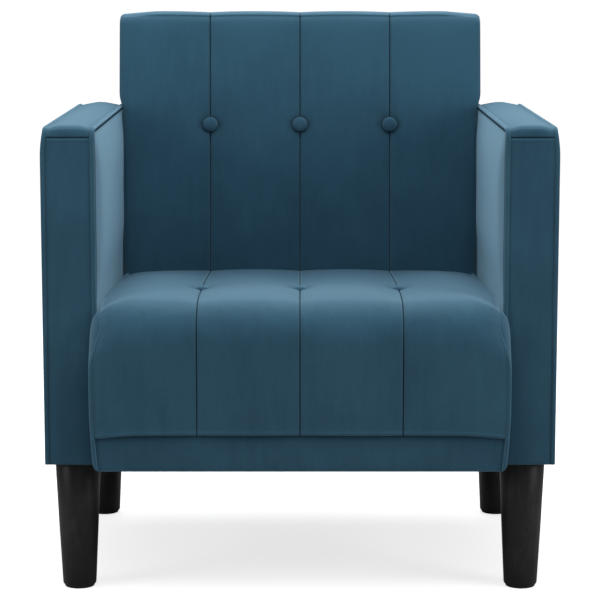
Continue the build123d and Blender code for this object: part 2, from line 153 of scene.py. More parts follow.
# Camera and lights
CAMERA_LENS = 136.4
CAMERA_SENSOR = 36
CAMERA_PLACE = (0, ARM_FRONT - 2.958, 0.855)
CAMERA_DIP = math.radians(8.77)
LIGHT_AIM = Vector((0, 0, 0.4))
LIGHTS = (  # name, place, size and watts
    ("overhead", (0, -0.9, 1.9), 1.0, 9),
    ("rear top", (0, 1.1, 1.9), 1.2, 22),
    ("left fill", (-2.3, -1.3, 1.15), 1.2, 13),
    ("right fill", (2.3, -1.3, 1.15), 1.2, 17),
    ("front fill", (0, -3.2, 0.3), 1.2, 0.6),
)
FLOOR_SIZE = 80
FLOOR_GLOW = 0.72

BLACK = (0, 0, 0, 1)
WHITE = (1, 1, 1, 1)


# Helpers for shaping


def smooth(t):
    """0 to 1 with soft ends."""
    t = np.clip(t, 0, 1)
    return t * t * (3 - 2 * t)


def hump(t):
    """A narrow bell."""
    return np.exp(-t * t)


def fade(distance, reach):
    """1 at no distance, falling straight to 0 at the reach."""
    return np.clip(1 - distance / reach, 0, 1)


def read_curve(curve, at):
    """Values along a curve of (place, value) pairs."""
    places, values = zip(*curve)
    return np.interp(at, places, values)


def to_arc(a, b):
    """Takes a square corner, 1 by 1 from its centre, to a round one."""
    a, b = np.maximum(a, 0), np.maximum(b, 0)
    length = np.maximum(np.hypot(a, b), 1e-9)
    scale = np.maximum(a, b) / length
    return a * scale, b * scale


def round_edge(p, q, rp, rq):
    """Rounds the edge between two faces. p and q are the distances in from them."""
    a, b = (rp - p) / rp, (rq - q) / rq
    ra, rb = to_arc(a, b)
    both = (a > 0) & (b > 0)
    return np.where(both, rp * (1 - ra), p), np.where(both, rq * (1 - rb), q)


def spaced(low, high, marks, step=CUT):
    """Cutting places from low to high: the marks, and even steps between them."""
    stops = sorted({round(m, 6) for m in marks if low < m < high} | {low, high})
    places = []
    for start, end in zip(stops, stops[1:]):
        count = max(1, math.ceil((end - start) / step - 1e-6))
        places += [start + (end - start) * k / count for k in range(count)]
    return places[1:]


def around(centres, *offsets):
    """Marks at some distances, in millimetres, each side of each centre."""
    return [c + s * o * MM for c in centres for o in offsets for s in (-1, 1)]


def from_ends(half, *offsets):
    """Marks at some distances, in millimetres, in from both ends of a width about the middle."""
    return [k * (half - o * MM) for k in (-1, 1) for o in offsets]


def off(start, *offsets):
    """Marks at some distances, in millimetres, from one place."""
    return [start + o * MM for o in offsets]


SEAM_MARKS = around(SEAMS, 0.0, 0.75, 1.7, 3.2, 7, 12)


def cut_block(low, high, cuts):
    """A closed block whose faces are cut across each axis at the given places."""
    bm = bmesh.new()
    size = Vector(high) - Vector(low)
    middle = (Vector(high) + Vector(low)) / 2
    place = Matrix.Translation(middle) @ Matrix.Diagonal((*size, 1))
    bmesh.ops.create_cube(bm, size=1.0, matrix=place)
    for axis, places in enumerate(cuts):
        normal = [float(axis == k) for k in range(3)]
        for place in places:
            spot = [place * n for n in normal]
            geometry = bm.verts[:] + bm.edges[:] + bm.faces[:]
            bmesh.ops.bisect_plane(bm, geom=geometry, dist=1e-7, plane_co=spot, plane_no=normal)
    return bm


def turn_profile(bm, profile, steps):
    """Spins a profile of (radius, height) pairs into a round shape beside what is tagged."""
    verts = [bm.verts.new((radius, 0, height)) for radius, height in profile]
    edges = [bm.edges.new(pair) for pair in zip(verts, verts[1:])]
    bmesh.ops.spin(
        bm, geom=verts + edges, cent=(0, 0, 0), axis=(0, 0, 1), angle=math.tau, steps=steps,
        use_merge=True,
    )
    bmesh.ops.remove_doubles(bm, verts=[v for v in bm.verts if not v.tag], dist=TOUCH)


def piece_from(bm, name):
    """A smooth-shaded object from a bmesh."""
    mesh = bpy.data.meshes.new(name)
    bm.to_mesh(mesh)
    bm.free()
    mesh.shade_smooth()
    piece = bpy.data.objects.new(name, mesh)
    bpy.context.scene.collection.objects.link(piece)
    return piece


def read_points(mesh):
    """The mesh's points as rows."""
    points = np.empty(len(mesh.vertices) * 3)
    mesh.vertices.foreach_get("co", points)
    return points.reshape(-1, 3)


def write_points(mesh, points):
    """Moves the mesh's points to the given rows."""
    mesh.vertices.foreach_set("co", np.ascontiguousarray(points).ravel())
    mesh.update()


def store_mask(mesh, name, values):
    """A value for each point, which the material reads."""
    values = np.broadcast_to(np.asarray(values, dtype=np.float32), len(mesh.vertices))
    mask = mesh.attributes.new(name, "FLOAT", "POINT")
    mask.data.foreach_set("value", np.ascontiguousarray(values))


def declare(piece, slot, *nodes):
    """Attaches the piece to the body and hides the CAD nodes it stands for. The slot, the name of
    its finish, is not used.
    """
    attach(piece, BODY)
    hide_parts(*nodes)


def dress(piece, seam, rub):
    """Puts the velvet on, with the masks it reads (painted seam shade and painted light), and one
    live subdivision.
    """
    store_mask(piece.data, "seam", seam)
    store_mask(piece.data, "rub", rub)
    piece.data.materials.append(velvet())
    rounder = piece.modifiers.new("rounder", "SUBSURF")
    rounder.levels = rounder.render_levels = 1


def stuff(piece, sewn, cap):
    """Fills the cover by a cloth simulation under pressure.

    Sewn points stay, and no point moves beyond cap.
    """
    before = read_points(piece.data)
    group = piece.vertex_groups.new(name="sewn")
    group.add(np.flatnonzero(sewn).tolist(), 1.0, "REPLACE")
    cloth = piece.modifiers.new("stuffing", "CLOTH")
    settings = cloth.settings
    settings.quality = 6
    settings.mass = 0.3
    settings.vertex_group_mass = group.name
    settings.use_pressure = True
    settings.uniform_pressure_force = 4.0
    settings.effector_weights.gravity = 0
    settings.tension_stiffness = settings.compression_stiffness = 12
    settings.shear_stiffness = 5
    settings.bending_stiffness = 0.6
    scene = bpy.context.scene
    for step in range(1, 21):
        scene.frame_set(step)
    depsgraph = bpy.context.evaluated_depsgraph_get()
    moved = read_points(piece.evaluated_get(depsgraph).data) - before
    length = np.linalg.norm(moved, axis=1, keepdims=True)
    moved *= cap * np.tanh(length / cap) / np.maximum(length, 1e-9)
    piece.modifiers.remove(cloth)
    piece.vertex_groups.remove(group)
    scene.frame_set(1)
    return moved


def channel_crown(x):
    """0 on the channel seams and 1 in the middle of each channel."""
    ax = np.abs(x)
    outer_half = 0.55 * (MODULE_HALF - SEAM_SPACING)
    inner = np.sin(np.pi * np.clip(ax / SEAM_SPACING, 0, 1)) ** 0.75
    outer = np.sin(np.pi / 2 * np.clip((ax - SEAM_SPACING) / outer_half, 0, 1)) ** 0.75
    return np.where(ax < SEAM_SPACING, inner, outer)


def seam_gap(x):
    """Distance to the nearest channel seam."""
    ax = np.abs(x)
    return np.minimum(ax, np.abs(ax - SEAM_SPACING))


def button_gap(x, run):
    """Distance to the nearest button. run is the distance from their row."""
    return np.minimum.reduce([np.hypot(x - seam, run) for seam in SEAMS])


def dimples(x, run, dip, dip_reach, hollow, hollow_across, hollow_along):
    """Pull of a row of buttons: a dip at each one in a wider soft hollow."""
    pull = dip * hump(button_gap(x, run) / dip_reach)
    for seam in SEAMS:
        pull = pull + hollow * hump((x - seam) / hollow_across) * hump(run / hollow_along)
    return pull


def back_face(z):
    """How far back the leaning front of the slab is at a height."""
    return BACK_FOOT.y + (z - BACK_FOOT.z) * math.tan(RECLINE)


# Colours and sizes a user would change


class ArmchairSizes(bpy.types.PropertyGroup):
    """Sizes of the soft work."""

    seam_depth: bpy.props.FloatProperty(
        name="Seam depth",
        description="How far the channel seams pull in",
        default=3.0 * MM,
        unit="LENGTH",
    )
    seat_crown: bpy.props.FloatProperty(
        name="Seat crown",
        description="Height of the seat's channels over their seams",
        default=5.0 * MM,
        unit="LENGTH",
    )
    back_crown: bpy.props.FloatProperty(
        name="Back crown",
        description="Height of the back's channels over their seams",
        default=4.5 * MM,
        unit="LENGTH",
    )
    arm_crown: bpy.props.FloatProperty(
        name="Arm crown",
        description="Height of the arm's top between its edge flanges",
        default=4.0 * MM,
        unit="LENGTH",
    )
    arm_bulge: bpy.props.FloatProperty(
        name="Arm bulge",
        description="How far the arm's inner face swells",
        default=3.6 * MM,
        unit="LENGTH",
    )
    flange: bpy.props.FloatProperty(
        name="Flange width",
        description="Width of the stitched flange along the edges",
        default=6.5 * MM,
        unit="LENGTH",
    )


class ArmchairColours(bpy.types.PropertyGroup):
    """Colours of the finishes."""

    velvet: bpy.props.FloatVectorProperty(
        name="Velvet",
        description="Depth colour of the pile",
        default=(0.013, 0.064, 0.112),
        subtype="COLOR",
    )
    # the lighter tone of the pile's random patches, also the colour of the painted light
    velvet_light: bpy.props.FloatVectorProperty(
        name="Velvet, brushed",
        description="Colour of the pile where it is brushed up",
        default=(0.032, 0.116, 0.184),
        subtype="COLOR",
    )
    sheen: bpy.props.FloatVectorProperty(
        name="Velvet sheen",
        description="Tint of the sheen on the pile",
        default=(0.45, 0.75, 0.95),
        subtype="COLOR",
    )
    lacquer: bpy.props.FloatVectorProperty(
        name="Leg lacquer",
        description="Colour of the painted legs",
        default=(0.012, 0.012, 0.013),
        subtype="COLOR",
    )


# Shader groups shared by the finishes


class Net:
    """Places and links the nodes of one tree."""

    def __init__(self, tree):
        self.tree = tree

    def add(self, kind, **settings):
        """A node with its settings."""
        node = self.tree.nodes.new(kind)
        for key, value in settings.items():
            setattr(node, key, value)
        return node

    def link(self, start, end):
        """Joins an output to an input."""
        self.tree.links.new(start, end)

    def feed(self, socket, value):
        """Sets an input to a number or a colour, or links it."""
        if isinstance(value, bpy.types.NodeSocket):
            self.link(value, socket)
        elif isinstance(value, tuple):
            socket.default_value = (*value[:3], 1.0)
        else:
            socket.default_value = value

    def noise(self, vector, scale, detail=3.0, roughness=0.5):
        """Soft noise from 0 to 1."""
        node = self.add("ShaderNodeTexNoise")
        for label, value in (("Scale", scale), ("Detail", detail), ("Roughness", roughness)):
            self.feed(node.inputs[label], value)
        self.link(vector, node.inputs["Vector"])
        return node.outputs["Fac"]

    def stretch(self, vector, scale):
        """Coordinates scaled along each axis."""
        node = self.add("ShaderNodeMapping")
        node.inputs["Scale"].default_value = scale
        self.link(vector, node.inputs["Vector"])
        return node.outputs["Vector"]

    def maths(self, operation, *values):
        """A sum on numbers and sockets."""
        node = self.add("ShaderNodeMath", operation=operation)
        for socket, value in zip(node.inputs, values):
            self.feed(socket, value)
        return node.outputs[0]

    def ramp(self, value, low, high, to_low=0.0, to_high=1.0):
        """Takes one range to another."""
        node = self.add("ShaderNodeMapRange")
        self.link(value, node.inputs["Value"])
        ends = zip(("From Min", "From Max", "To Min", "To Max"), (low, high, to_low, to_high))
        for label, number in ends:
            node.inputs[label].default_value = number
        return node.outputs["Result"]

    def blend(self, factor, a, b):
        """A mix of two colours."""
        node = self.add("ShaderNodeMix", data_type="RGBA", blend_type="MIX")
        for place, value in ((0, factor), (6, a), (7, b)):
            self.feed(node.inputs[place], value)
        return node.outputs[2]

    def mix_shaders(self, factor, first, second):
        """A mix of two shaders."""
        node = self.add("ShaderNodeMixShader")
        for socket, value in zip(node.inputs, (factor, first, second)):
            self.link(value, socket)
        return node.outputs[0]

    def seen_directly(self):
        """1 where the camera sees the surface itself, and 0 for the light it gives."""
        return self.add("ShaderNodeLightPath").outputs["Is Camera Ray"]


def shared_group(name, inputs, wire):
    """A shader group, built once, that takes Vector and the inputs.

    wire makes its nodes, and gives its colour, height and roughness.
    """
    found = bpy.data.node_groups.get(name)
    if found:
        return found
    group = bpy.data.node_groups.new(name, "ShaderNodeTree")
    group.interface.new_socket("Vector", in_out="INPUT", socket_type="NodeSocketVector")
    for label, default in inputs.items():
        kind = "NodeSocketColor" if isinstance(default, tuple) else "NodeSocketFloat"
        socket = group.interface.new_socket(label, in_out="INPUT", socket_type=kind)
        socket.default_value = default
    for label in ("Color", "Height", "Roughness"):
        kind = "NodeSocketColor" if label == "Color" else "NodeSocketFloat"
        group.interface.new_socket(label, in_out="OUTPUT", socket_type=kind)
    net = Net(group)
    results = wire(net, net.add("NodeGroupInput").outputs)
    outs = net.add("NodeGroupOutput").inputs
    for label, result in zip(("Color", "Height", "Roughness"), results):
        net.link(result, outs[label])
    return group


def wire_pile(net, ins):
    """Brushed pile: soft patches, faint streaks and fine tufts, shifted lighter or darker by a
    painted light mask and darkened by a painted seam shade mask.
    """
    vector = ins["Vector"]
    patches = net.noise(vector, 9, 3, 0.55)
    streaks = net.noise(net.stretch(vector, (1, 1, 0.16)), 85, 3, 0.6)
    tufts = net.noise(vector, 330, 2, 0.6)
    fibres = net.noise(vector, 1500, 2, 0.6)
    brushed = net.maths("MULTIPLY_ADD", streaks, 0.55, -0.38)
    brushed = net.maths("MULTIPLY_ADD", patches, 0.9, brushed)
    brushed = net.maths("MULTIPLY_ADD", tufts, 0.35, net.maths("ADD", brushed, -0.2))
    # the painted light mask moves the pile towards its lighter or darker tone
    brushed = net.ramp(net.maths("ADD", brushed, ins["Rub"]), 0.1, 0.9)
    pile = net.blend(brushed, ins["Depth colour"], ins["Brushed colour"])
    # painted shade: the seam mask darkens the pile towards near black in grooves, creases, round
    # buttons and under the lip
    pile = net.blend(net.maths("MULTIPLY", ins["Seam"], 0.72), pile, (0.004, 0.014, 0.022))
    height = net.maths("MULTIPLY_ADD", fibres, 0.5, net.maths("MULTIPLY_ADD", tufts, 0.7, streaks))
    return pile, height, net.ramp(tufts, 0.2, 0.8, 0.78, 0.95)


def wire_grain(net, ins):
    """Grain that runs along one axis of the piece."""
    bands = net.noise(ins["Vector"], ins["Scale"], 5)
    specks = net.noise(ins["Vector"], 700, 2)
    figure = net.maths("MULTIPLY_ADD", specks, 0.3, net.maths("MULTIPLY", bands, 0.9))
    tone = net.blend(net.ramp(figure, 0.35, 0.85), ins["Dark"], ins["Light"])
    return tone, figure, net.ramp(figure, 0.3, 0.9, 0.5, 0.75)


def wire_weave(net, ins):
    """Crossed threads with a little fuzz."""
    threads = []
    for direction in ("X", "Y", "Z"):
        wave = net.add("ShaderNodeTexWave", bands_direction=direction)
        wave.inputs["Distortion"].default_value = 0.6
        net.link(ins["Vector"], wave.inputs["Vector"])
        net.link(ins["Scale"], wave.inputs["Scale"])
        threads.append(wave.outputs["Fac"])
    crossed = net.maths("MULTIPLY", net.maths("ADD", threads[0], threads[1]), threads[2])
    fuzz = net.noise(ins["Vector"], 400, 3)
    figure = net.maths("MULTIPLY_ADD", fuzz, 0.5, net.maths("MULTIPLY", crossed, 0.4))
    tone = net.blend(net.ramp(figure, 0.1, 0.9), ins["Dark"], ins["Light"])
    return tone, figure, net.ramp(figure, 0.1, 0.9, 0.75, 0.95)


def wire_scuffs(net, ins):
    """Even finish with faint scuffs and fine dust."""
    clouds = net.noise(ins["Vector"], 22, 4, 0.6)
    scratches = net.noise(net.stretch(ins["Vector"], (1, 1, 0.08)), 420, 3, 0.7)
    worn = net.ramp(net.maths("MULTIPLY", clouds, scratches), 0.24, 0.42, 0.0, 0.55)
    roughness = net.maths("MULTIPLY_ADD", clouds, 0.22, ins["Roughness"])
    return net.blend(worn, ins["Base"], ins["Worn"]), scratches, roughness


def pile_group():
    inputs = {"Depth colour": BLACK, "Brushed colour": WHITE, "Seam": 0.0, "Rub": 0.0}
    return shared_group("brushed pile", inputs, wire_pile)


def grain_group():
    return shared_group("grain", {"Light": WHITE, "Dark": BLACK, "Scale": 60.0}, wire_grain)


def weave_group():
    return shared_group("weave", {"Light": WHITE, "Dark": BLACK, "Scale": 300.0}, wire_weave)


def scuff_group():
    return shared_group("scuffs", {"Base": BLACK, "Worn": WHITE, "Roughness": 0.4}, wire_scuffs)


# Materials


def finish(name, group, values, stretch=(1, 1, 1), bump=0.15, distance=0.3 * MM, masks=(), **fixed):
    """A material whose colour, roughness and bump come from one shader group."""
    found = bpy.data.materials.get(name)
    if found:
        return found
    material = bpy.data.materials.new(name)
    material.use_nodes = True
    net = Net(material.node_tree)
    shader = material.node_tree.nodes["Principled BSDF"]
    place = net.add("ShaderNodeTexCoord").outputs["Object"]
    node = net.add("ShaderNodeGroup", node_tree=group)
    net.link(net.stretch(place, stretch), node.inputs["Vector"])
    for label, value in values.items():
        net.feed(node.inputs[label], value)
    for label in masks:
        mask = net.add("ShaderNodeAttribute", attribute_name=label.lower())
        net.link(mask.outputs["Fac"], node.inputs[label])
    net.link(node.outputs["Color"], shader.inputs["Base Color"])
    net.link(node.outputs["Roughness"], shader.inputs["Roughness"])
    relief = net.add("ShaderNodeBump")
    relief.inputs["Strength"].default_value = bump
    relief.inputs["Distance"].default_value = distance
    net.link(node.outputs["Height"], relief.inputs["Height"])
    net.link(relief.outputs["Normal"], shader.inputs["Normal"])
    for label, value in fixed.items():
        shader.inputs[label.replace("_", " ")].default_value = value
    return material


def velvet():
    """Blue pile with a sheen, darker in the seams by painted shade, and lighter or darker by
    painted light as well as by its brushed patches.
    """
    colours = bpy.context.scene.armchair_colours
    return finish(
        "blue velvet",
        pile_group(),
        {"Depth colour": tuple(colours.velvet), "Brushed colour": tuple(colours.velvet_light)},
        bump=0.35,
        distance=0.5 * MM,
        masks=("Seam", "Rub"),
        Sheen_Weight=0.7,
        Sheen_Roughness=0.6,
        Sheen_Tint=(*colours.sheen, 1.0),
        Specular_IOR_Level=0.15,
    )


def shaded_seam_velvet():
    """The pile pressed down into a seam, which shows no sheen: a darker copy of the velvet that
    paints shade into the seams.
    """
    return finish(
        "velvet in the painted seam shade",
        pile_group(),
        # darker than the velvet's own colours, for painted shade
        {"Depth colour": (0.010, 0.044, 0.074), "Brushed colour": (0.020, 0.072, 0.112)},
        bump=0.2,
        Specular_IOR_Level=0.1,
    )


def hard_finish(name, base, worn, roughness, **more):
    """A smooth hard finish with faint scuffs."""
    values = {"Base": base, "Worn": worn, "Roughness": roughness}
    return finish(name, scuff_group(), values, **more)


def two_tone(name, group, light, dark, scale, **more):
    """A grained or woven finish between a light and a dark tone."""
    return finish(name, group, {"Light": light, "Dark": dark, "Scale": scale}, **more)


def lacquer():
    """Black paint of the legs."""
    base = tuple(bpy.context.scene.armchair_colours.lacquer)
    worn = (0.05, 0.048, 0.045)
    return hard_finish(
        "black leg lacquer", base, worn, 0.28, bump=0.05, Coat_Weight=0.2, Coat_Roughness=0.3
    )


def hidden_finishes():
    """Material of each carried-over node."""
    grain, weave = grain_group(), weave_group()
    wood = two_tone(
        "pine lumber", grain, (0.62, 0.44, 0.25), (0.36, 0.22, 0.11), 45.0, stretch=(1, 0.12, 0.5)
    )
    board = two_tone("fibreboard", grain, (0.30, 0.20, 0.12), (0.18, 0.11, 0.06), 350.0)
    twine = two_tone("twine", weave, (0.62, 0.58, 0.48), (0.35, 0.31, 0.24), 900.0, bump=0.5)
    steel = hard_finish(
        "zinc steel", (0.52, 0.53, 0.54), (0.30, 0.29, 0.27), 0.30, Metallic=1.0
    )
    table = {
        "seat_spring_felt": two_tone(
            "grey felt", weave, (0.25, 0.25, 0.26), (0.12, 0.12, 0.13), 240.0, bump=0.5
        ),
        "seat_dust_cloth": two_tone(
            "dust cloth", weave, (0.03, 0.03, 0.032), (0.01, 0.01, 0.011), 420.0, bump=0.4
        ),
        "back_webbing": two_tone(
            "webbing", weave, (0.35, 0.30, 0.20), (0.14, 0.11, 0.07), 300.0, bump=0.6
        ),
        "leg_glides": hard_finish(
            "moulded plastic", (0.02, 0.02, 0.02), (0.07, 0.07, 0.07), 0.45
        ),
        "seat_spring_clips": hard_finish(
            "clip plastic", (0.55, 0.54, 0.50), (0.35, 0.34, 0.31), 0.45
        ),
    }
    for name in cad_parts:
        if name in table:
            continue
        if "board" in name:
            table[name] = board
        elif name.endswith("twines"):
            table[name] = twine
        elif any(word in name for word in ("rail", "post", "block")):
            table[name] = wood
        else:
            table[name] = steel
    return table


# Shapes of the soft pieces


def seat_points(rest, sizes, detail):
    """The seat's cut block taken to its sewn form: rolled front, soft sides, channels, dimples."""
    half, top = MODULE_HALF, SEAT_CROWN_TOP
    x, y, z = rest.T
    side = np.sign(x)
    ax = np.abs(x)
    on_front = y < SEAT_FRONT + TOUCH
    on_top = z > top - TOUCH
    from_side = half - ax
    ahead_rest = smooth((ARM_FRONT - 2 * MM - y) / (8 * MM))
    # lip ends dip between the flanges
    dip = -4.2 * MM * hump((from_side - 6 * MM) / (26 * MM)) * on_front
    z = z + dip * hump((z - LIP) / (22 * MM))
    f = y - SEAT_FRONT
    # bottom front corners, seen from the front
    s, low = round_edge(from_side, z - SEAT_FOOT, 8 * MM, 8 * MM)
    s = ahead_rest * s + (1 - ahead_rest) * from_side
    z = np.where(ahead_rest > 0, SEAT_FOOT + low, z)
    # side edges: tight down the front, soft over the roll and along the arms
    t = top - z
    tight, tight_radius = smooth((t - 26 * MM) / (64 * MM)), 3 * MM
    drop = read_curve(SIDE_DROP, f) * (1 - tight) + tight_radius * tight
    reach = read_curve(SIDE_REACH, f) * (1 - tight) + tight_radius * tight
    depth = np.minimum(f, t)
    s, sunk = round_edge(s, depth, reach, drop)
    sunk = sunk - depth
    # channels, seams and dimples
    back = y - ARM_FRONT
    share = np.where(on_front & ~on_top, read_curve(FRONT_CROWN, z), read_curve(TOP_CROWN, back))
    crown = share * channel_crown(x) * sizes.seat_crown * smooth(from_side / (40 * MM))
    rise = read_curve(TOP_RISE, back) * MM * on_top * smooth(from_side / (60 * MM))
    push = -(rise + crown)
    if detail:
        groove = sizes.seam_depth * hump(seam_gap(x) / SEAM_REACH)
        push += groove * (on_top | on_front) * (z > LIP + 0.2 * MM)
        run = y - SEAT_BUTTONS_Y
        push += on_top * dimples(x, run, 6.0 * MM, 12.5 * MM, 1.4 * MM, 18 * MM, 34 * MM)
        # flange along the front edges
        width = sizes.flange - 1 * MM
        stitched = 1.3 * MM * hump((from_side - width) / (0.9 * MM))
        proud = 0.9 * MM * (from_side < width)
        push += on_front * smooth((top - 30 * MM - z) / (20 * MM)) * (stitched - proud)
        # hem of the lip
        hem = 1.9 * MM * hump((z - LIP - dip - HEM_RISE) / (2.4 * MM))
        push -= on_front * hem * smooth((from_side - width) / (2 * MM))
    push = np.where(on_top | on_front, push, 0) + sunk
    f = f + push * fade(f, SEAT_ROLL)
    t = t + push * fade(t, SEAT_ROLL)
    f, t = round_edge(f, t, SEAT_ROLL, SEAT_ROLL)
    # the top falls away before the roll, and towards the rear corners
    t = t + 11 * MM * fade(f, 100 * MM) ** 2 * fade(t, 95 * MM) ** 1.5
    t = t + 5 * MM * on_top * smooth((ax - 0.45 * half) / (0.55 * half)) * smooth((f - 0.3) / 0.17)
    # the band's recess under the lip
    if detail:
        inside = smooth((s - sizes.flange + 0.6 * MM) / (0.8 * MM))
        under = smooth((LIP + dip - z) / (1.2 * MM))
        turned_in = 1 - smooth((z - LIP - dip) / (3 * MM))
        f = f + on_front * inside * (9 * MM * under + 1.2 * MM * turned_in)
    ax, y, z = half - s, SEAT_FRONT + f, top - t
    # wider ahead of the arms, narrowing a little towards the foot
    ahead = smooth((ARM_FRONT - 1.5 * MM - y) / (6 * MM))
    outer = smooth((ax - (half - 60 * MM)) / (60 * MM))
    ax = ax + ahead * outer * (SEAT_AHEAD - read_curve(SEAT_TAPER, z) * MM)
    # the top slopes, and the rear follows the back's lean
    z = z - SEAT_SLOPE * (y - SEAT_FRONT) * np.clip((z - SEAT_FOOT) / (top - SEAT_FOOT), 0, 1.1)
    lean = (z - SEAT_LEAN_FROM) * math.tan(RECLINE)
    y = y + lean * np.clip((y - SEAT_FRONT) / SEAT_DEPTH, 0, 1)
    return np.column_stack((side * ax, y, z))


def seat_masks(rest, sizes):
    """Painted shade in the seams, round the buttons and along the front flanges, and the seat's
    painted light.
    """
    x, y, z = rest.T
    from_side = MODULE_HALF - np.abs(x)
    top = z > SEAT_CROWN_TOP - TOUCH
    front = y < SEAT_FRONT + TOUCH
    panel = (top | front) & (z > LIP - 0.5 * MM)
    width = sizes.flange - 1 * MM
    ring = button_gap(x, y - SEAT_BUTTONS_Y) - BUTTON_RING
    # painted shade in the seam grooves, and a dark crescent of painted shade round each button
    seam = np.maximum(hump(seam_gap(x) / SEAM_REACH) * panel, top * 0.8 * hump(ring / BUTTON_SHADE))
    # painted shade in the crease along each front flange
    seam = np.maximum(seam, 0.5 * hump((from_side - width) / SEAM_REACH) * front)
    # painted light: lighter along the front flanges and on the channels' crowns
    rub = 0.25 * front * (from_side < width) + 0.1 * channel_crown(x) * panel
    # painted highlight: a light line along the lip's edge
    return seam, rub + 0.6 * front * hump((z - LIP - 1.5 * MM) / (1.6 * MM))


def seat_sewn(rest):
    """The seat's points that the stuffing leaves in place."""
    x, y, z = rest.T
    skin = (z > SEAT_CROWN_TOP - TOUCH) | (y < SEAT_FRONT + TOUCH)
    free = skin & (seam_gap(x) > SEAM_CLEAR) & (MODULE_HALF - np.abs(x) > 9 * MM)
    free &= (z > LIP + 4 * MM) & (y < SEAT_REAR - 6 * MM)
    return ~(free & (button_gap(x, y - SEAT_BUTTONS_Y) > BUTTON_CLEAR))


def back_points(rest, sizes, detail):
    """The upright slab's cut block taken to its sewn form, then leaned."""
    half, length, thick = MODULE_HALF, BACK_LENGTH, BACK_THICK
    x, d, level = rest.T
    side = np.sign(x)
    from_side = half - np.abs(x)
    f = length - level
    on_front = d < TOUCH
    on_rear = d > thick - TOUCH
    on_top = f < TOUCH
    in_rear_half = d > thick / 2
    # top corners, seen from the front, then the side edges, front and rear
    s, f = round_edge(from_side, f, 7.5 * MM, 7.5 * MM)
    s, near = round_edge(s, d, 7 * MM, 7 * MM)
    s, far = round_edge(s, thick - near, 5 * MM, 5 * MM)
    d = thick - far
    # channels on the front, a little fullness on the rear, and the line of the top
    open_face = smooth(from_side / (25 * MM)) * (0.35 + 0.65 * smooth(f / (60 * MM)))
    rear_full = 2.0 * MM * smooth(from_side / (60 * MM)) * smooth(f / (60 * MM))
    push = np.where(on_front, -sizes.back_crown * channel_crown(x) * open_face, 0)
    push = np.where(on_rear, -rear_full, push)
    ends = smooth(from_side / (56 * MM))
    ridge = (1 - ends) * 0.6 * MM - (1.7 + 1.7 * channel_crown(x)) * MM * ends
    if detail:
        groove = sizes.seam_depth * hump(seam_gap(x) / SEAM_REACH)
        run = level - BACK_BUTTONS
        push += groove * on_front
        push += on_front * dimples(x, run, 3.4 * MM, 14 * MM, 1.6 * MM, 26 * MM, 40 * MM)
        # stitched edges of the boxing
        edge = 1.3 * MM * hump((d - 9 * MM) / (1.0 * MM))
        edge = edge + 1.2 * MM * hump((thick - d - 6 * MM) / (1.0 * MM))
        s = s + edge * (s < 3 * MM + TOUCH) * (from_side < TOUCH)
        ridge = ridge + 0.55 * groove * (d < 14 * MM) + 0.12 * edge * on_top
    front_radius, rear_radius = 22 * MM, 8 * MM
    near = np.where(on_rear, thick - d, d)
    near = near + push * fade(near, front_radius)
    near = np.where(in_rear_half & ~on_rear, thick - d, near)
    f = f + ridge * fade(f, 40 * MM)
    radius = np.where(in_rear_half, rear_radius, front_radius)
    f, near = round_edge(f, near, radius, radius)
    d = np.where(in_rear_half, thick - near, near)
    # the face bows back a little towards the top
    d = d + 8 * MM * fade(f, 210 * MM) ** 2 * (1 - d / thick)
    level = length - f
    # clear of the arms, and a little fuller above them
    height = BACK_FOOT.z + level * math.cos(RECLINE)
    above = smooth((height - ARM_TOP + 3 * MM) / (9 * MM))
    full = above * (5.4 - 0.8 * np.clip((height - 0.65) / 0.11, 0, 1)) * MM
    middle = np.sin(np.pi * np.clip(d / thick, 0, 1)) ** 0.5
    ax = half - s + full * smooth((40 * MM - s) / (40 * MM)) * (0.8 + 0.2 * middle)
    y = BACK_FOOT.y + d * math.cos(RECLINE) + level * math.sin(RECLINE)
    z = BACK_FOOT.z - d * math.sin(RECLINE) + level * math.cos(RECLINE)
    return np.column_stack((side * ax, y, z))


def back_masks(rest, sizes):
    """Painted shade in the seams and round the buttons, and the back's painted light."""
    x, d, level = rest.T
    front = d < TOUCH
    top = level > BACK_LENGTH - TOUCH
    ring = button_gap(x, level - BACK_BUTTONS) - BUTTON_RING
    # painted shade in the seam grooves down the front and over the top
    seam = hump(seam_gap(x) / SEAM_REACH) * (front | (top & (d < 14 * MM)))
    # painted shade round each button
    seam = np.maximum(seam, front * 0.85 * hump(ring / BUTTON_SHADE))
    share = level / BACK_LENGTH
    # painted light: the pile lighter towards the top and darker low down, by how light falls on the
    # back
    brushed = 0.5 * smooth((share - 0.6) / 0.35) - 0.2 * (1 - smooth(share / 0.6))
    # painted highlight on the channels' crowns and along the top
    return seam, front * (0.12 * channel_crown(x) + brushed) + 0.4 * top


def back_sewn(rest):
    """The back's points that the stuffing leaves in place."""
    x, d, level = rest.T
    inner = MODULE_HALF - np.abs(x) > 9 * MM
    free = (d < TOUCH) & (seam_gap(x) > SEAM_CLEAR) & inner
    free &= (level > 0.2) & (level < BACK_LENGTH - 9 * MM)
    rear = (d > BACK_THICK - TOUCH) & inner
    free |= rear & (level > 12 * MM) & (level < BACK_LENGTH - 12 * MM)
    return ~(free & (button_gap(x, level - BACK_BUTTONS) > BUTTON_CLEAR))


def arm_gaps(rest):
    """Distances in from the right arm's inner face, outer face, front, top and rear."""
    x, y, z = rest.T
    return x - ARM_INNER, ARM_OUTER - x, y - ARM_FRONT, ARM_TOP - z, ARM_REAR - y


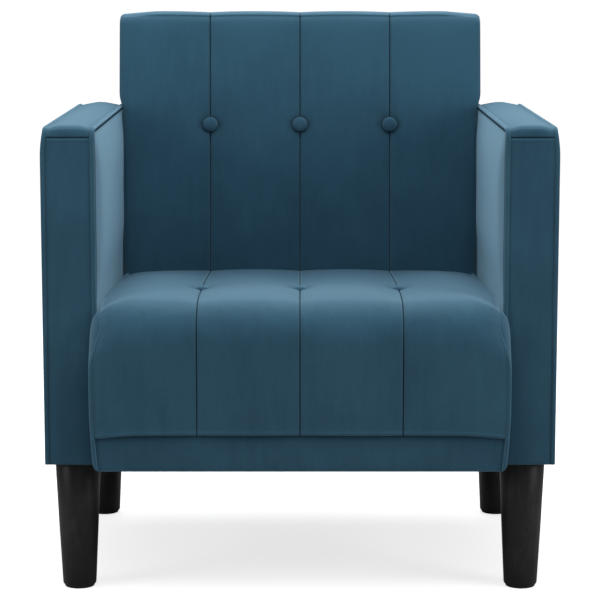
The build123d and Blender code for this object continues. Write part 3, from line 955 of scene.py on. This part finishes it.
def arm_points(rest, sizes, detail):
    """The right arm's cut block in its sewn form: flanged edges, crowned top, soft inner face."""
    y, z = rest[:, 1], rest[:, 2]
    s_in, s_out, fy, ty, ry = arm_gaps(rest)
    s = np.minimum(s_in, s_out)
    inside = s_in < s_out
    q = np.minimum(np.minimum(fy, ty), ry)
    on_side = s < TOUCH
    on_rim = q < TOUCH
    on_top = ty < TOUCH
    on_front = (fy < TOUCH) & ~on_top
    # small round along the flanged edges
    s2, q2 = round_edge(s, q, 2.6 * MM, 2.6 * MM)
    ds, dq = s2 - s, q2 - q
    flange = sizes.flange
    # crown of the top, near flat down the front
    mid = smooth((s - flange) / (MM * np.interp(fy, [0.0, 0.2], [13, 26])))
    front_share = 0.25 + 0.75 * (1 - smooth((ty - 1 * MM) / (13 * MM)))
    rear_share = 0.2 + 0.8 * (1 - smooth((ty - 1 * MM) / (30 * MM)))
    share = np.where(on_top, 1.0, np.where(on_front, front_share, rear_share))
    dq = dq - on_rim * sizes.arm_crown * share * mid
    # inner face swells above the seat, up to the back, and the outer face is barely full
    swell = smooth((z - SWELL_FOOT) / 0.07) * smooth((back_face(z) - 2 * MM - y) / (14 * MM))
    swell = swell * smooth(fy / (36 * MM)) * smooth((ty - 4 * MM) / (40 * MM))
    ds = ds - np.where(on_side & inside, sizes.arm_bulge * swell, 0)
    outside = smooth(fy / 0.05) * smooth(ry / 0.05) * smooth(ty / 0.05)
    outside = outside * smooth((z - ARM_FOOT) / 0.05)
    ds = ds - np.where(on_side & ~inside, 1.4 * MM * outside, 0)
    if detail:
        # flange: proud edge, stitched crease on the rim and a crease under it on the side
        proud = 1.1 * MM * (1 - smooth((s - flange + 1.5 * MM) / (1.5 * MM)))
        stitched = 1.1 * MM * hump((s - flange) / (0.9 * MM))
        dq = dq + on_rim * (stitched - proud)
        under = hump((q - flange * 0.8) / (1.3 * MM)) * smooth((z - ARM_FOOT) / 0.01)
        ds = ds + on_side * under * np.where(inside, 2.0, 1.0) * MM
        # cross seam under the front's top corner, between the flanges
        level = 1.3 * MM * hump((z - CROSS_SEAM) / (0.9 * MM)) + 0.5 * MM * (z < CROSS_SEAM)
        level = level - 0.9 * MM * hump((z - CROSS_SWELL) / CROSS_SWELL_REACH)
        dq = dq + on_front * level * smooth((s - flange) / (1.0 * MM))
    front_radius, rear_radius = 14 * MM, 11 * MM
    fy2 = fy + dq * fade(fy, front_radius)
    ry2 = ry + dq * fade(ry, rear_radius)
    ty2 = ty + dq * fade(ty, front_radius)
    to_front, top_front = round_edge(fy2, ty2, front_radius, front_radius)
    to_rear, top_rear = round_edge(ry2, ty2, rear_radius, rear_radius)
    near_front = fy < ry
    y = np.where(near_front, ARM_FRONT + to_front, ARM_REAR - to_rear)
    z = ARM_TOP - np.where(near_front, top_front, top_rear)
    # the rear of the top sits a touch lower
    back_share = np.clip((y - ARM_FRONT) / (ARM_REAR - ARM_FRONT), 0, 1)
    z = z - 3 * MM * back_share * smooth((z - ARM_TOP + 0.1) / 0.1)
    # drawn in a little at the outer top edge
    s = s + ds + 3.0 * MM * ~inside * (1 - smooth(ty / (34 * MM)))
    x = np.where(inside, ARM_INNER + s, ARM_OUTER - s)
    return np.column_stack((x, y, z))


def arm_masks(rest, sizes):
    """Painted shade in the creases and the cross seam, and the arm's painted light."""
    z = rest[:, 2]
    s_in, s_out, fy, ty, ry = arm_gaps(rest)
    s = np.minimum(s_in, s_out)
    inside = s_in < s_out
    q = np.minimum(np.minimum(fy, ty), ry)
    rim, side = q < TOUCH, s < TOUCH
    between = (fy < TOUCH) & (ty > TOUCH) & (s > sizes.flange)
    # painted shade in the stitched crease along each flange
    seam = 0.6 * rim * hump((s - sizes.flange) / SEAM_REACH)
    # painted shade in the crease under the flange, deeper on the inner face
    under = hump((q - sizes.flange * 0.8) / (1.5 * MM)) * np.where(inside, 0.9, 0.6)
    seam = np.maximum(seam, side * under)
    # painted shade in the cross seam
    seam = np.maximum(seam, between * hump((z - CROSS_SEAM) / SEAM_REACH))
    # painted light: lighter tops, darker inner faces and lighter proud flanges
    rub = 0.35 * (ty < TOUCH) - 0.3 * side * inside + 0.22 * rim * (s < sizes.flange - 1 * MM)
    # painted highlight along the fold under the cross seam
    return seam, rub + 0.5 * between * hump((z - CROSS_SWELL) / CROSS_SWELL_REACH)


def arm_sewn(rest):
    """The arm's points that the stuffing leaves in place."""
    y, z = rest[:, 1], rest[:, 2]
    s_in, s_out, fy, ty, ry = arm_gaps(rest)
    s = np.minimum(s_in, s_out)
    q = np.minimum(np.minimum(fy, ty), ry)
    inner = (s_in < TOUCH) & (q > 8 * MM) & (z > STUFFED_FOOT) & (y < back_face(z) - 8 * MM)
    outer = (s_out < TOUCH) & (q > 8 * MM) & (z > ARM_FOOT + 12 * MM)
    top = (ty < TOUCH) & (s > 8 * MM) & (fy > 14 * MM) & (ry > 12 * MM)
    return ~(inner | outer | top)


def band_points(rest):
    """The band below the lip: a flat padded strip with a soft face."""
    x, y, z = rest.T
    half = np.abs(x).max()
    s, f = round_edge(half - np.abs(x), y - BAND_FRONT, 1.5 * MM, 1.5 * MM)
    f, t = round_edge(f, z - BAND_FOOT, 2.0 * MM, 2.0 * MM)
    arch = np.sin(np.pi * np.clip((z - BAND_FOOT) / (BAND_TOP - BAND_FOOT), 0, 1))
    f = f - (y < BAND_FRONT + TOUCH) * 0.8 * MM * smooth(s / (30 * MM)) * arch
    s = s + read_curve(BAND_TAPER, z) * MM * smooth(1 - s / (60 * MM))
    return np.column_stack((np.sign(x) * (half - s), BAND_FRONT + f, BAND_FOOT + t))


def covered_button(bm, place):
    """A domed button of stretched velvet, with small pleats where it turns under."""
    dome = (
        (0, 1.0), (0.25, 0.98), (0.5, 0.90), (0.72, 0.76), (0.88, 0.56), (0.97, 0.32), (1.0, 0.1),
        (0.95, -0.15), (0.8, -0.3),
    )
    turn_profile(bm, [(r * BUTTON_RADIUS, h * BUTTON_HEIGHT) for r, h in dome], 48)
    fresh = [v for v in bm.verts if not v.tag]
    rim = [e for e in bm.edges if e.is_boundary and not e.verts[0].tag]
    bmesh.ops.contextual_create(bm, geom=rim)
    for v in fresh:
        angle = math.atan2(v.co.y, v.co.x)
        out = math.hypot(v.co.x, v.co.y) / BUTTON_RADIUS
        v.co.z += BUTTON_HEIGHT * 0.03 * math.sin(16 * angle) * out ** 6
        v.tag = True
    bmesh.ops.transform(bm, matrix=place, verts=fresh)


# Operators


class SoftPiece:
    """Shared steps of the padded pieces."""

    bl_options = {"REGISTER"}

    @staticmethod
    def build(name, bm, shaper, sewn, cap, masks):
        """Shapes a cut block, stuffs it, sews the detail in and puts the velvet on."""
        sizes = bpy.context.scene.armchair_sizes
        piece = piece_from(bm, name)
        rest = read_points(piece.data)
        write_points(piece.data, shaper(rest, sizes, False))
        moved = stuff(piece, sewn(rest), cap)
        write_points(piece.data, shaper(rest, sizes, True) + moved)
        seam, rub = masks(rest, sizes)
        dress(piece, np.clip(seam, 0, 1), rub)
        # faces deepest in the painted seam shade take the darker velvet without sheen, more painted
        # shade
        piece.data.materials.append(shaded_seam_velvet())
        for face in piece.data.polygons:
            shades = [seam[v] for v in face.vertices]
            face.material_index = int(min(shades) > 0.3 and sum(shades) > 2.4)
        return piece


class ARMCHAIR_OT_seat(SoftPiece, bpy.types.Operator):
    """Sewn seat with four channels, a rolled front and a lip over the band"""

    bl_idname = "armchair.seat"
    bl_label = "Seat"

    def execute(self, context):
        half, top, foot = MODULE_HALF, SEAT_CROWN_TOP, SEAT_FOOT
        flange = context.scene.armchair_sizes.flange / MM
        edges = from_ends(half, 0.8, 1.8, flange - 2, flange - 1, flange, 9, 20)
        xs = spaced(-half, half, SEAM_MARKS + edges)
        marks = off(SEAT_FRONT, 0.8, 1.8, 3, 5) + off(ARM_FRONT, -8, -4, 0)
        marks += around([SEAT_BUTTONS_Y], 0.0, 5, 10, 15, 21, 28)
        ys = spaced(SEAT_FRONT, SEAT_REAR, marks)
        lips = off(LIP, -2.4, -1.2, 0.0, 1.2, 3, 4.6, 6.6)
        zs = spaced(foot, top, lips + off(foot, 2, 5, 8) + off(top, -2, -6, -12))
        bm = cut_block((-half, SEAT_FRONT, foot), (half, SEAT_REAR, top), (xs, ys, zs))
        piece = self.build("seat_upholstery", bm, seat_points, seat_sewn, 4 * MM, seat_masks)
        declare(piece, "velvet", "seat_foam", "seat_cover", "seat_left_boxing", "seat_right_boxing")
        return {"FINISHED"}


class ARMCHAIR_OT_band(bpy.types.Operator):
    """Plain band under the seat's lip"""

    bl_idname = "armchair.band"
    bl_label = "Front band"

    def execute(self, context):
        half = MODULE_HALF + SEAT_AHEAD - context.scene.armchair_sizes.flange + 0.6 * MM
        xs = spaced(-half, half, from_ends(half, 0.6, 1.5, 5), 9 * MM)
        ys = spaced(BAND_FRONT, BAND_REAR, off(BAND_FRONT, 0.7, 1.5), 3 * MM)
        marks = off(BAND_FOOT, 0.8, 2) + off(BAND_TOP, -1, -3)
        zs = spaced(BAND_FOOT, BAND_TOP, marks, 7 * MM)
        low, high = (-half, BAND_FRONT, BAND_FOOT), (half, BAND_REAR, BAND_TOP)
        piece = piece_from(cut_block(low, high, (xs, ys, zs)), "seat_band")
        rest = read_points(piece.data)
        write_points(piece.data, band_points(rest))
        on_front = rest[:, 1] < BAND_FRONT + TOUCH
        # painted shadow on the band just under the lip, passed as its seam mask
        dress(piece, 0.55 * hump((LIP - rest[:, 2]) / (3 * MM)) * on_front, 0.0)
        declare(piece, "velvet", "seat_front_band")
        return {"FINISHED"}


class ARMCHAIR_OT_back(SoftPiece, bpy.types.Operator):
    """Sewn back with four channels"""

    bl_idname = "armchair.back"
    bl_label = "Back"

    def execute(self, context):
        half, length, thick = MODULE_HALF, BACK_LENGTH, BACK_THICK
        xs = spaced(-half, half, SEAM_MARKS + from_ends(half, 2, 4, 7, 14))
        ds = spaced(0, thick, off(0, 2, 4, 7, 8, 9, 10, 13, 92, 93, 94, 95, 98), 12 * MM)
        marks = off(length, -2, -4, -8, -12, -16) + around([BACK_BUTTONS], 0.0, 5, 10, 15, 21)
        ls = spaced(0, length, marks)
        bm = cut_block((-half, 0, 0), (half, thick, length), (xs, ds, ls))
        piece = self.build("back_upholstery", bm, back_points, back_sewn, 3 * MM, back_masks)
        declare(piece, "velvet", "back_foam", "back_front_cover", "back_boxing", "back_rear_cover")
        return {"FINISHED"}


class ARMCHAIR_OT_arms(SoftPiece, bpy.types.Operator):
    """Box arms with flanged edges"""

    bl_idname = "armchair.arms"
    bl_label = "Arms"

    def execute(self, context):
        flange = context.scene.armchair_sizes.flange / MM
        foot = ARM_FOOT + 0.5 * MM
        steps = (0.8, 1.8, 4.2, 5.4, flange, flange + 1.1, 10)
        inward = [-o for o in steps]
        sides = off(ARM_INNER, *steps) + off(ARM_OUTER, *inward)
        xs = spaced(ARM_INNER, ARM_OUTER, sides, 9 * MM)
        ys = spaced(ARM_FRONT, ARM_REAR, off(ARM_FRONT, *steps, 12) + off(ARM_REAR, *inward))
        marks = off(ARM_TOP, *inward, -20) + around([CROSS_SEAM], 0.0, 1, 2.2)
        zs = spaced(foot, ARM_TOP, marks + off(CROSS_SEAM, -3.2, -4.6))
        low, high = (ARM_INNER, ARM_FRONT, foot), (ARM_OUTER, ARM_REAR, ARM_TOP)
        bm = cut_block(low, high, (xs, ys, zs))
        right = self.build("right_arm_upholstery", bm, arm_points, arm_sewn, 2.2 * MM, arm_masks)
        layers = ("padding", "inner_cover", "outer_cover", "top_band")
        for name, piece in (("right", right), ("left", self.mirrored(right))):
            declare(piece, "velvet", *[f"{name}_arm_{layer}" for layer in layers])
        return {"FINISHED"}

    def mirrored(self, right):
        """The left arm, turned over from the right one."""
        left = right.copy()
        left.name = "left_arm_upholstery"
        left.data = right.data.copy()
        left.data.name = left.name
        bpy.context.scene.collection.objects.link(left)
        bm = bmesh.new()
        bm.from_mesh(left.data)
        bmesh.ops.scale(bm, vec=(-1, 1, 1), verts=bm.verts)
        bmesh.ops.reverse_faces(bm, faces=bm.faces)
        bm.to_mesh(left.data)
        bm.free()
        return left


class ARMCHAIR_OT_buttons(bpy.types.Operator):
    """Velvet buttons on the seat and the back"""

    bl_idname = "armchair.buttons"
    bl_label = "Buttons"

    def execute(self, context):
        seat_row = Vector((0, SEAT_BUTTONS_Y, SEAT_BUTTONS_Z))
        seat_turn = Matrix.Rotation(-math.atan(SEAT_SLOPE), 4, "X")
        up_slab = Vector((0, math.sin(RECLINE), math.cos(RECLINE)))
        back_turn = Matrix.Rotation(math.radians(90) - RECLINE, 4, "X")
        self.row("seat", seat_row, seat_turn)
        self.row("back", BACK_FOOT + BACK_BUTTONS * up_slab, back_turn)
        return {"FINISHED"}

    def row(self, panel, middle, turn):
        """A button on each seam of the panel."""
        bm = bmesh.new()
        for seam in SEAMS:
            covered_button(bm, Matrix.Translation(middle + Vector((seam, 0, 0))) @ turn)
        bmesh.ops.recalc_face_normals(bm, faces=bm.faces)
        piece = piece_from(bm, f"{panel}_velvet_buttons")
        # the buttons a little lighter through the painted light mask, with no seam shade
        dress(piece, 0.0, 0.15)
        declare(piece, "velvet", f"{panel}_buttons")


class ARMCHAIR_OT_legs(bpy.types.Operator):
    """Tapered round legs in black lacquer"""

    bl_idname = "armchair.legs"
    bl_label = "Legs"

    def execute(self, context):
        for name in ("front_left_leg", "front_right_leg", "rear_left_leg", "rear_right_leg"):
            low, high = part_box(name)
            top = (high.x - low.x) / 2
            foot = top * LEG_TAPER
            profile = (
                (0.0, low.z), (foot - 2.5 * MM, low.z), (foot - 0.9 * MM, low.z + 0.5 * MM),
                (foot, low.z + 2.2 * MM), ((foot + top) / 2, (low.z + high.z) / 2),
                (top - 0.4 * MM, high.z - 1.2 * MM), (top - 1.0 * MM, high.z), (0.0, high.z),
            )
            bm = bmesh.new()
            turn_profile(bm, profile, 96)
            bmesh.ops.recalc_face_normals(bm, faces=bm.faces)
            centre = (low + high) / 2
            bmesh.ops.translate(bm, vec=(centre.x, centre.y, 0), verts=bm.verts)
            piece = piece_from(bm, name.replace("leg", "turned_leg"))
            piece.data.materials.append(lacquer())
            declare(piece, "leg_black", name)
        return {"FINISHED"}


class ARMCHAIR_OT_finishes(bpy.types.Operator):
    """Finishes of the frame, springs and fixings"""

    bl_idname = "armchair.finishes"
    bl_label = "Hidden parts"

    def execute(self, context):
        for name, material in hidden_finishes().items():
            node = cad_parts[name]
            if not node.material_slots:
                node.data.materials.append(None)
            for holder in node.material_slots:
                holder.material = material
        return {"FINISHED"}


class ARMCHAIR_OT_stage(bpy.types.Operator):
    """Pale floor, soft lights and the camera"""

    bl_idname = "armchair.stage"
    bl_label = "Stage"

    def execute(self, context):
        scene = context.scene
        self.floor()
        self.world(scene)
        for lamp in LIGHTS:
            self.light(scene, *lamp)
        self.camera(scene)
        scene.view_settings.view_transform = "Standard"
        return {"FINISHED"}

    def camera(self, scene):
        """The camera in front of the chair, a little above its back."""
        data = bpy.data.cameras.new("camera")
        data.lens = CAMERA_LENS
        data.sensor_width = CAMERA_SENSOR
        data.clip_end = 200
        camera = bpy.data.objects.new("camera", data)
        camera.location = CAMERA_PLACE
        camera.rotation_euler = (math.radians(90) - CAMERA_DIP, 0, 0)
        scene.collection.objects.link(camera)
        scene.camera = camera

    def floor(self):
        """A pale floor that takes a soft shadow."""
        bm = bmesh.new()
        bmesh.ops.create_grid(bm, x_segments=1, y_segments=1, size=FLOOR_SIZE)
        floor = piece_from(bm, "floor")
        material = bpy.data.materials.new("pale floor")
        material.use_nodes = True
        net = Net(material.node_tree)
        shader = material.node_tree.nodes["Principled BSDF"]
        shader.inputs["Base Color"].default_value = (0.80, 0.80, 0.80, 1)
        shader.inputs["Roughness"].default_value = 0.9
        shader.inputs["Emission Color"].default_value = WHITE
        shader.inputs["Emission Strength"].default_value = FLOOR_GLOW
        matt = net.add("ShaderNodeBsdfDiffuse")
        matt.inputs["Color"].default_value = (0.30, 0.30, 0.30, 1)
        mix = net.mix_shaders(net.seen_directly(), matt.outputs[0], shader.outputs[0])
        net.link(mix, material.node_tree.nodes["Material Output"].inputs["Surface"])
        floor.data.materials.append(material)

    def world(self, scene):
        """A dome of light from above, behind a plain white background."""
        world = bpy.data.worlds.new("soft white")
        scene.world = world
        world.use_nodes = True
        net = Net(world.node_tree)
        lit = world.node_tree.nodes["Background"]
        lit.inputs["Color"].default_value = WHITE
        way = net.add("ShaderNodeSeparateXYZ")
        net.link(net.add("ShaderNodeTexCoord").outputs["Generated"], way.inputs[0])
        dome = net.maths("POWER", net.maths("MAXIMUM", way.outputs["Z"], 0.0), 3.0)
        net.link(net.maths("ADD", dome, 0.02), lit.inputs["Strength"])
        shown = net.add("ShaderNodeBackground")
        shown.inputs["Strength"].default_value = 1.0
        mix = net.mix_shaders(net.seen_directly(), lit.outputs[0], shown.outputs[0])
        net.link(mix, world.node_tree.nodes["World Output"].inputs["Surface"])

    def light(self, scene, name, place, size, power):
        """A square soft light that faces the chair."""
        data = bpy.data.lights.new(name, "AREA")
        data.size = size
        data.energy = power
        lamp = bpy.data.objects.new(name, data)
        lamp.location = place
        lamp.rotation_euler = (LIGHT_AIM - lamp.location).to_track_quat("-Z", "Y").to_euler()
        lamp.visible_camera = False
        scene.collection.objects.link(lamp)


STEPS = (
    ARMCHAIR_OT_finishes,
    ARMCHAIR_OT_legs,
    ARMCHAIR_OT_arms,
    ARMCHAIR_OT_seat,
    ARMCHAIR_OT_band,
    ARMCHAIR_OT_back,
    ARMCHAIR_OT_buttons,
    ARMCHAIR_OT_stage,
)


class ARMCHAIR_PT_panel(bpy.types.Panel):
    """Lists the chair's steps"""

    bl_idname = "ARMCHAIR_PT_panel"
    bl_label = "Armchair"
    bl_space_type = "VIEW_3D"
    bl_region_type = "UI"
    bl_category = "Armchair"

    def draw(self, context):
        for group in (context.scene.armchair_sizes, context.scene.armchair_colours):
            for key in group.bl_rna.properties.keys():
                if key not in ("rna_type", "name"):
                    self.layout.prop(group, key)
        for step in STEPS:
            self.layout.operator(step.bl_idname)


CLASSES = (ArmchairSizes, ArmchairColours, *STEPS, ARMCHAIR_PT_panel)


def register():
    for cls in CLASSES:
        bpy.utils.register_class(cls)
    bpy.types.Scene.armchair_sizes = bpy.props.PointerProperty(type=ArmchairSizes)
    bpy.types.Scene.armchair_colours = bpy.props.PointerProperty(type=ArmchairColours)


def unregister():
    del bpy.types.Scene.armchair_colours
    del bpy.types.Scene.armchair_sizes
    for cls in reversed(CLASSES):
        bpy.utils.unregister_class(cls)


def main():
    register()
    for step in STEPS:
        getattr(bpy.ops.armchair, step.bl_idname.split(".")[1])()


if __name__ == "__main__":
    main()
